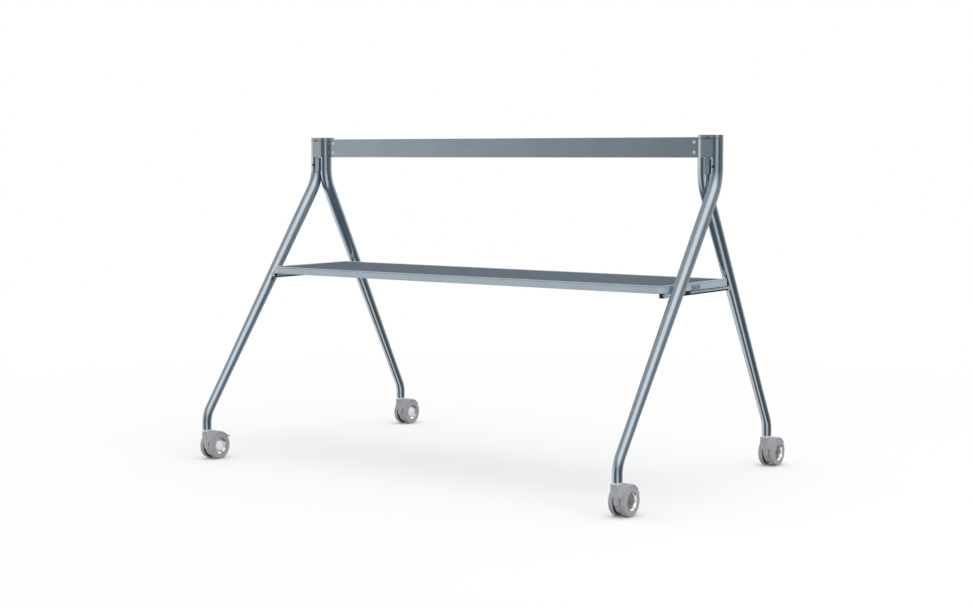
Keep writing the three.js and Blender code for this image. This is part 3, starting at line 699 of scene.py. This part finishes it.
def tray_ring():
    """The tray's outline from above: wide round corners in front, tight ones behind."""
    return rectangle(np.array(TRAY_LOW)[:2], np.array(TRAY_HIGH)[:2],
                     [FRONT_CORNER, FRONT_CORNER, BACK_CORNER, BACK_CORNER], 16)


tray_bottom, tray_top = TRAY_LOW.z, TRAY_HIGH.z
deck_top = tray_top - RECESS
groove_top = tray_top - GROOVE_DROP
tray_profile = soften(
    [(RIM + DECK_HOLD, deck_top - SHEET / 2), (RIM, deck_top - SHEET / 2), (RIM, tray_top),
     (0, tray_top), (0, groove_top), (GROOVE, groove_top), (GROOVE, groove_top - GROOVE),
     (0, groove_top - GROOVE), (0, tray_bottom), (FLANGE, tray_bottom),
     (FLANGE, tray_bottom + SHEET), (SHEET, tray_bottom + SHEET), (SHEET, deck_top - SHEET),
     (RIM + DECK_HOLD, deck_top - SHEET)],
    [0, 0.2 * MM, 0.3 * MM, 0.7 * MM, 0.2 * MM, 0.2 * MM, 0.2 * MM, 0.2 * MM,
     2.4 * MM, 0.8 * MM, 0.8 * MM, 1 * MM, 1 * MM, 0])
piece("tray", [slab(tray_ring(), tray_profile)], tray_paint, "frame", ["shelf_tray"])
# The deck inside the rim is painted far darker than the tray's edges: painted shade for its top
# seen at a grazing angle
deck_profile = rounded_edge(deck_top - SHEET * 0.9, deck_top, 0.5 * MM) + [RIM + DECK_SEAM, 0]
piece("tray_deck", [slab(tray_ring(), deck_profile)], deck_painted_shade, "frame")

for name, side in SIDES.items():
    low, high = corners_of(f"shelf_rail_{name}")
    drop = np.array([0, 0, RAIL_SHADE_STRIP])
    rail = box(low + drop, high - drop, 0.8 * MM, 1.6 * MM, "y")
    piece(f"rail_{name}", [rail], tray_paint, "frame", [f"shelf_rail_{name}"])
    # Black strips along the top and bottom of the rail: painted shade for the shadow gap under the
    # tray and the rail's shaded lower edge
    inset = np.array([0.4 * MM, 1 * MM, 0])
    lower_top = np.array([high[0], high[1], low[2] + 0.8 * RAIL_SHADE_STRIP])
    upper_low = np.array([low[0], low[1], high[2] - 1.2 * RAIL_SHADE_STRIP])
    strips = [box(low + inset - drop, lower_top - inset, 0.5 * MM, axis="y"),
              box(upper_low + inset, high - inset, 0.5 * MM, axis="y")]
    piece(f"rail_painted_shade_strips_{name}", strips, black_plastic, "frame")
    pads = [box([side * RAIL_PAD_LOW, y, low[2] + 0.6 * MM],
                [side * RAIL_PAD_HIGH, y + length, high[2] - 1 * MM], 0.8 * MM, 1.4 * MM)
            for y, length in RAIL_PADS]
    piece(f"rail_pads_{name}", pads, black_plastic, "frame")
    low, high = corners_of(f"shelf_clip_{name}")
    low[1:], high[1:] = low[1:] + CLIP_INSET, high[1:] - CLIP_INSET
    piece(f"clip_{name}", [box(low, high, 0.5 * MM, 1.5 * MM, "x")], clip_paint, "frame",
          [f"shelf_clip_{name}"])
    middle = (low + high) / 2
    outer = max(low[0], high[0], key=abs)
    head = soften([(SMALL_PIN, 0.5 * MM), (1 * MM, 0.1 * MM), (CLIP_SCREW_RADIUS, 0.6 * MM),
                   (CLIP_SCREW_RADIUS, -1 * MM), (SMALL_PIN, -1 * MM)],
                  [0, 0.4 * MM, 0.4 * MM, 0, 0])
    screws = [turned(head, (outer, middle[1] + shift, middle[2]), "x", side, 24)
              for shift in (-CLIP_SCREWS, CLIP_SCREWS)]
    piece(f"clip_screws_{name}", screws, clip_plastic, "frame")
    low, high = corners_of(f"rear_lug_{name}")
    low, high = low + [LUG_INSET, -RAIL_LAP, 0], high - [LUG_INSET, 0, 0]
    piece(f"rear_lug_shoe_{name}", [box(low, high, 0.6 * MM, 1.2 * MM, "y")], tray_paint,
          "frame", [f"rear_lug_{name}"])
    low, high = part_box(f"shelf_knob_{name}")
    centre = ((low.x + high.x) / 2, high.y, (low.z + high.z) / 2)
    radius = (high.z - low.z) / 2
    knob = soften([(PIN, 0), (radius * 0.8, 0), (radius, 1 * MM), (radius, KNOB_FACE),
                   (PIN, KNOB_TOP)], [0, 0.5 * MM, 0.6 * MM, 1 * MM, 0])
    piece(f"knob_{name}", [turned(knob, centre, "y", -1, 32)], black_plastic, "frame",
          [f"shelf_knob_{name}"])

# ---------------------------------------------------------------- casters

def hood_web():
    """The web between the wheels and the core that shows in the seam over it.

    The web's outline, seen from the side, runs down a straight front, round the axle at
    WEB_REACH and up the fender's round. Both are carried straight across x.
    """
    top = HOOD_TOP - DECK - SEAM
    round_top = math.degrees(math.asin((top - FENDER_CENTRE[1]) / FENDER_RADIUS))
    outline = np.concatenate([
        soften([(0, top), (HOOD_FRONT, top), WEB_CORNER,
                (WEB_CORNER[0] + 8 * MM, WEB_CORNER[1] - 6 * MM)],
               [0, 0.8 * MM, 4 * MM, 0])[1:-1],
        arc(AXLE, WEB_REACH, 208, 350, 30),
        arc(FENDER_CENTRE, FENDER_RADIUS - 2 * MM, 37, round_top, 12),
    ])
    front, low, high = HOOD_FRONT + SEAM_INSET, top - 2 * MM, top + 2 * MM
    core = np.array([(front, low), (TRAIL, low), (TRAIL, high), (front, high)])
    core_edge = rounded_edge(-WEB_HALF + SEAM_INSET, WEB_HALF - SEAM_INSET, 1 * MM)
    return [slab(inset_by(outline), rounded_edge(-WEB_HALF, WEB_HALF, 2 * MM), "x"),
            slab(inset_by(core), core_edge, "x")]


def hood_deck():
    """The deck over the web, widening into the fender that follows the wheels' round.

    Each station along it is a rounded rectangle between a point of the outer line and one of
    the inner line. The half width rises from the web's to the wheels' as a quarter of a sine.
    """
    turn = np.radians(np.linspace(0, 90, 5))
    inset = HOOD_EDGE * (1 - np.sin(turn))
    shift = HOOD_EDGE * (1 - np.cos(turn))
    ahead = np.concatenate([HOOD_FRONT - 0.4 * MM + shift,
                            np.linspace(-8 * MM, FENDER_CENTRE[0], 44)])
    start = math.degrees(math.acos((FENDER_CENTRE[0] - AXLE[0]) / FENDER_INNER))
    angle = np.concatenate([np.linspace(90, FENDER_END + 3, 26)[1:],
                            FENDER_END + np.degrees(shift[::-1] / FENDER_RADIUS)])
    outer = np.concatenate([np.stack([ahead, np.full(len(ahead), HOOD_TOP)], 1),
                            np.array(FENDER_CENTRE) + FENDER_RADIUS * np.stack(
                                [np.cos(np.radians(angle)), np.sin(np.radians(angle))], 1)])
    reach = np.clip((ahead - AXLE[0]) / FENDER_INNER, -1, 1)
    over_wheel = np.maximum(AXLE[1] + FENDER_INNER * np.sqrt(1 - reach ** 2), CHEEK_LOW)
    under = np.clip((ahead - CHEEK_FRONT) / (2 * MM), 0, 1)
    under = (HOOD_TOP - DECK) * (1 - under) + over_wheel * under
    inner_angle = np.radians(angle * start / 90)
    inner = np.concatenate([np.stack([ahead, under], 1),
                            np.array(AXLE) + FENDER_INNER * np.stack(
                                [np.cos(inner_angle), np.sin(inner_angle)], 1)])
    grown = np.clip((outer[:, 0] - CHEEK_FRONT) / CHEEK_LENGTH, 0, 1)
    grown = np.sin(grown * math.pi / 2)
    grown[len(ahead):] = 1
    half = WEB_HALF + WEB_TO_DECK + (HOOD_HALF - WEB_HALF - WEB_TO_DECK) * grown
    lost = np.concatenate([inset, np.zeros(len(outer) - 2 * len(inset)), inset[::-1]])
    thick = np.linalg.norm(outer - inner, axis=1)
    up = (outer - inner) / thick[:, None]
    middle = (outer + inner) / 2
    quarter = np.radians(np.linspace(0, 90, 6))
    round_angle = (quarter[None, :] + np.radians([0, 90, 180, 270])[:, None]).ravel()
    across_sign = np.repeat([1, -1, -1, 1], len(quarter))
    up_sign = np.repeat([1, 1, -1, -1], len(quarter))
    tight = (HOOD_ROUND * np.ones(len(outer)) - lost * 0.9)[:, None]
    across = (across_sign * (half - lost)[:, None] - across_sign * tight
              + tight * np.cos(round_angle))
    lift = up_sign * (thick / 2 - lost)[:, None] - up_sign * tight + tight * np.sin(round_angle)
    return skin(np.stack([
        across, middle[:, :1] + up[:, :1] * lift, middle[:, 1:] + up[:, 1:] * lift], 2))


def on_axle(profile, side, hoop=True):
    """A profile turned about the axle, its distances from the wheel's inner face outwards."""
    return turned(profile, (side * WHEEL_START, TRAIL, AXLE_Z), "x", side, WHEEL_SIDES, hoop)


def wheel_ring(side):
    """One wheel's tyre: rounded shoulders, a shallow groove outside, a step inside for the black
    disc of painted shade.
    """
    bore, tread = HUB_RADIUS + 0.3 * MM, WHEEL_RADIUS
    profile = soften(
        [(bore, 1.2 * MM), (SHADE_DISC_RADIUS, 1.2 * MM), (SHADE_DISC_RADIUS, 0), (tread, 0),
         (tread, WHEEL_WIDTH), (33 * MM, WHEEL_WIDTH), (32.6 * MM, WHEEL_WIDTH - 0.4 * MM),
         (32.2 * MM, WHEEL_WIDTH), (bore, WHEEL_WIDTH)],
        [0.4 * MM, 0.2 * MM, 0.2 * MM, 2.6 * MM, 3 * MM, 0.1 * MM, 0.1 * MM, 0.1 * MM,
         0.8 * MM], closed=True)
    return on_axle(profile, side)


def wheel_shade_disc(side):
    """A black disc on the wheel's face towards the web, flat between two rounded edges: painted
    shade for the dark between the two wheels.
    """
    rim, hub = SHADE_DISC_RADIUS - SHADE_DISC_EDGE, HUB_RADIUS - 1 * MM
    profile = soften(
        [(SHADE_DISC_BORE, 2.4 * MM), (SHADE_DISC_BORE, 0.4 * MM), (rim, 0.4 * MM), (rim, 1 * MM),
         (hub, 1 * MM), (hub, 2.4 * MM)],
        [SHADE_DISC_EDGE, SHADE_DISC_EDGE, SHADE_DISC_EDGE, 0.1 * MM, 0.1 * MM, SHADE_DISC_EDGE], closed=True)
    return on_axle(profile, side)


def hub_liner(side, dish_radius, dish_depth):
    """The hub's bright ring: from its lip down a cone to the dish radius, then straight in."""
    lip, floor = WHEEL_WIDTH + 0.2 * MM, WHEEL_WIDTH - dish_depth
    profile = soften(
        [(LINER_BORE, 2.6 * MM), (HUB_RADIUS, 2.6 * MM), (HUB_RADIUS, lip),
         (HUB_RADIUS - 1 * MM, lip), (dish_radius, floor), (dish_radius - 0.4 * MM, 3.8 * MM),
         (LINER_BORE, 3.8 * MM)],
        [0, 0.5 * MM, 0.4 * MM, 0.8 * MM, 2.2 * MM, 0.2 * MM, 0], closed=True)
    return on_axle(profile, side)


def hub_face(side, radius, rim, crown):
    """The disc in the hub: flat in the middle, its flank falling ever steeper to the rim."""
    profile = soften(
        [(PIN, crown), (0.45 * radius, crown), (0.85 * radius, crown - 0.35 * (crown - rim)),
         (radius, rim), (radius, HUB_FLOOR), (PIN, HUB_FLOOR)],
        [0, 0.3 * radius, 0.2 * radius, 0.5 * MM, 0, 0])
    return on_axle(profile, side, hoop=False)


def collar():
    """The bright collar between the tube and the hood."""
    low, high = HOOD_TOP + 0.5 * MM, FOOT_HEIGHT - 0.2 * MM
    profile = soften(
        [(COLLAR_BORE, low - 4 * MM), (COLLAR_BORE, low), (COLLAR_FOOT, low),
         (COLLAR_RADIUS, low + 3.6 * MM), (COLLAR_RADIUS, high), (5 * MM, high)],
        [0, 0.3 * MM, 0.8 * MM, 1 * MM, 0.6 * MM, 0])
    return turned(profile, (0, 0, 0), "z", 1, 64)


def moved(shell, to):
    """A shell moved to a place."""
    points, faces = shell
    return points + np.asarray(to), faces


# The outer disc's dark finish is painted shade and the inner disc's white finish a painted
# reflection, two looks of one hub disc
# For each place: the ring's dish radius and depth; the disc's radius, rim and crown; its finish
HUBS = {
    "outer": ((20.4 * MM, 5 * MM), (19.4 * MM, 6 * MM, 7.4 * MM), hub_painted_shade),
    "inner": ((17.6 * MM, 4.4 * MM), (16.2 * MM, 8 * MM, 11 * MM), hub_painted_reflection),
}

for which, leg in (("front", FRONT_LEG), ("rear", REAR_LEG)):
    for name, side in SIDES.items():
        corner = f"{which}_{name}"
        at = np.array([side * leg[1], leg[2] + POST_Y, 0])
        hood = [moved(shell, at) for shell in (*hood_web(), hood_deck())]
        piece(f"caster_hood_{corner}", hood, caster_grey, f"caster_{corner}",
              [f"hood_{corner}"])
        piece(f"caster_collar_{corner}", [moved(collar(), at)], collar_steel, "frame",
              [f"stem_{corner}"])
        for place, way in (("outer", side), ("inner", -side)):
            body = f"wheel_{corner}_{place}"
            piece(f"tyre_{corner}_{place}", [moved(wheel_ring(way), at)], tread_grey, body,
                  [body])
            # A black disc of painted shade on the wheel's face towards the web
            piece(f"wheel_shade_disc_{corner}_{place}", [moved(wheel_shade_disc(way), at)], black_plastic,
                  body)
            liner, disc, metal = HUBS[place]
            piece(f"hub_liner_{corner}_{place}", [moved(hub_liner(way, *liner), at)], hub_chrome,
                  body, [f"hub_{corner}_{place}"])
            piece(f"hub_face_{corner}_{place}", [moved(hub_face(way, *disc), at)], metal, body)

# ---------------------------------------------------------------- what stays from the frame

# The axle ends take the dark hub metal, painted shade like the outer hub discs
kept = {
    "bar_bracket": post_paint, "front_lug": tray_paint,
    "axle": hub_painted_shade, "pedal": caster_grey,
}
for name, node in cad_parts.items():
    for start, material in kept.items():
        if name.startswith(start):
            node.data.materials.clear()
            node.data.materials.append(material)

# ---------------------------------------------------------------- studio

def make_world():
    """White to the camera, one plain level to what is matt, and a studio to what shines.

    The studio is a sum of soft panels over a dim ground. Each panel is a product of smooth
    steps in the direction's azimuth and height, in degrees, or one in the cosine of its
    angle from the panel's middle.
    """
    world = bpy.data.worlds.new("studio")
    bpy.context.scene.world = world
    make = Maker(world)
    path = make.node("LightPath")
    direction = make.node("TexCoord")["Generated"]
    way = make.node("SeparateXYZ", {}, {"Vector": direction})
    degrees = 180 / math.pi
    azimuth = make.node("Math", {"operation": "ARCTAN2"},
                        {0: way["Y"], 1: way["X"]})["Value"] * degrees
    height = make.node("Math", {"operation": "ARCSINE"}, {0: way["Z"]})["Value"] * degrees
    depth = -height

    front_middle = make.node("MapRange", {}, {"Value": height, "From Min": -60, "From Max": 0,
                                              "To Min": -40, "To Max": -52})["Result"]
    front = ((0.5 + 0.32 * make.step(depth, -4, 20))
             * (1 - make.step(abs(azimuth - front_middle), 8, 38))
             * (1 - make.step(height, 20, 45)))
    key_height, key_azimuth = math.radians(50), math.radians(-45)
    key_way = [math.cos(key_height) * math.cos(key_azimuth),
               math.cos(key_height) * math.sin(key_azimuth), math.sin(key_height)]
    nearness = make.node("VectorMath", {"operation": "DOT_PRODUCT"},
                         {0: direction, 1: key_way})["Value"]
    key = 0.95 * make.step(nearness, 0.643, 1.0)
    from_left = make.larger(make.step(-azimuth, 110, 149), make.step(azimuth, 138, 168))
    left = (0.9 * from_left * (1 - 0.8 * make.step(height, 2, 20))
            * (1 - 0.35 * make.step(depth, 35, 65)))
    right = (0.5 * make.step(azimuth, 25, 95) * (1 - make.step(azimuth, 92, 112))
             * (1 - 0.6 * make.step(height, 5, 20)) * (1 - 0.7 * make.step(depth, 14, 32)))
    rear_top = (0.8 * make.step(azimuth, 35, 60) * (1 - make.step(azimuth, 86, 106))
                * make.step(height, 10, 24))
    lit_right = make.step(azimuth, -10, 25) * make.step(height, -6, 6)
    ground = 0.13 + 0.22 * make.larger(make.step(height, 4, 20), lit_right)
    studio = ground + make.larger(front, key) + left + right + rear_top
    glossy = path["Is Glossy Ray"]
    camera = path["Is Camera Ray"]
    level = camera + (1 - camera) * (glossy * studio + (1 - glossy) * MATT_LEVEL)
    tint = make.blend(make.step(studio, 0.2, 0.75), SHADE_TINT, PANEL_TINT)
    colour = make.node("Mix", {"data_type": "RGBA"},
                       {0: glossy * (1 - camera), 6: WHITE, 7: tint})[2]
    background = make.node("Background", {}, {"Color": colour, "Strength": level})["Background"]
    make.node("OutputWorld", {}, {"Surface": background})


def make_floor():
    """A pale floor that keeps a soft shadow and fades into the white around it."""
    mesh = bpy.data.meshes.new("studio_floor")
    mesh.from_pydata([(x * FLOOR_REACH, y * FLOOR_REACH, -FLOOR_DROP)
                      for x, y in ((-1, -1), (1, -1), (1, 1), (-1, 1))], [], [(0, 1, 2, 3)])
    material = bpy.data.materials.new("studio_floor_white")
    make = Maker(material)
    camera = make.node("LightPath")["Is Camera Ray"]
    lit = make.node("BsdfDiffuse", {}, {"Color": (*[FLOOR_GREY] * 3, 1)})["BSDF"]
    # The glow is darkened by ambient occlusion near the stand and the casters: a painted contact
    # shadow
    painted_contact_shadow = make.node("AmbientOcclusion", {"samples": 8}, {"Distance": CONTACT_REACH})["AO"]
    glow = make.node("Emission", {}, {
        "Color": WHITE, "Strength": FLOOR_GLOW * camera * painted_contact_shadow})["Emission"]
    both = make.node("AddShader", {}, {0: lit, 1: glow})["Shader"]
    white = make.node("Emission", {}, {"Color": WHITE, "Strength": camera})["Emission"]
    place = make.node("TexCoord")["Object"]
    far = make.node("VectorMath", {"operation": "LENGTH"}, {0: place})["Value"]
    shown = make.node("MixShader", {}, {
        0: make.step(far, *FLOOR_FADE), 1: both, 2: white})["Shader"]
    make.node("OutputMaterial", {}, {"Surface": shown})
    mesh.materials.append(material)
    floor = bpy.data.objects.new("studio_floor", mesh)
    floor.visible_glossy = False
    bpy.context.scene.collection.objects.link(floor)


def make_lamp(name, place, size, power):
    """A soft square lamp that looks at the middle of the stand."""
    data = bpy.data.lights.new(name, "AREA")
    data.size = size
    data.energy = power
    lamp = bpy.data.objects.new(name, data)
    lamp.visible_glossy = False
    place = np.asarray(place, float)
    away = place - np.array(LAMP_TARGET)
    turn = math.atan2(away[1], away[0]) + math.pi / 2
    tilt = math.acos(away[2] / np.linalg.norm(away))
    lamp.location = place
    lamp.rotation_euler = (tilt, 0, turn)
    bpy.context.scene.collection.objects.link(lamp)


def make_camera():
    """The camera that was fitted to the photograph, 64.5 mm on a 36 mm sensor."""
    data = bpy.data.cameras.new("view")
    data.sensor_width = 36
    data.lens = 64.51
    camera = bpy.data.objects.new("view", data)
    camera.location = (3.0964, -4.2878, 0.9376)
    camera.rotation_euler = (math.pi / 2 - 0.0852, 0, 0.6297)
    bpy.context.scene.collection.objects.link(camera)
    bpy.context.scene.camera = camera


make_world()
make_floor()
make_lamp("soft_top", (0.9, 0.6, 4.2), 2.4, 26)
make_lamp("low_left", (-3.2, -2.5, 1.2), 0.7, 9)
make_lamp("low_right", (3.4, -0.9, 1.0), 0.7, 9)
make_camera()
bpy.context.scene.view_settings.view_transform = "Standard"
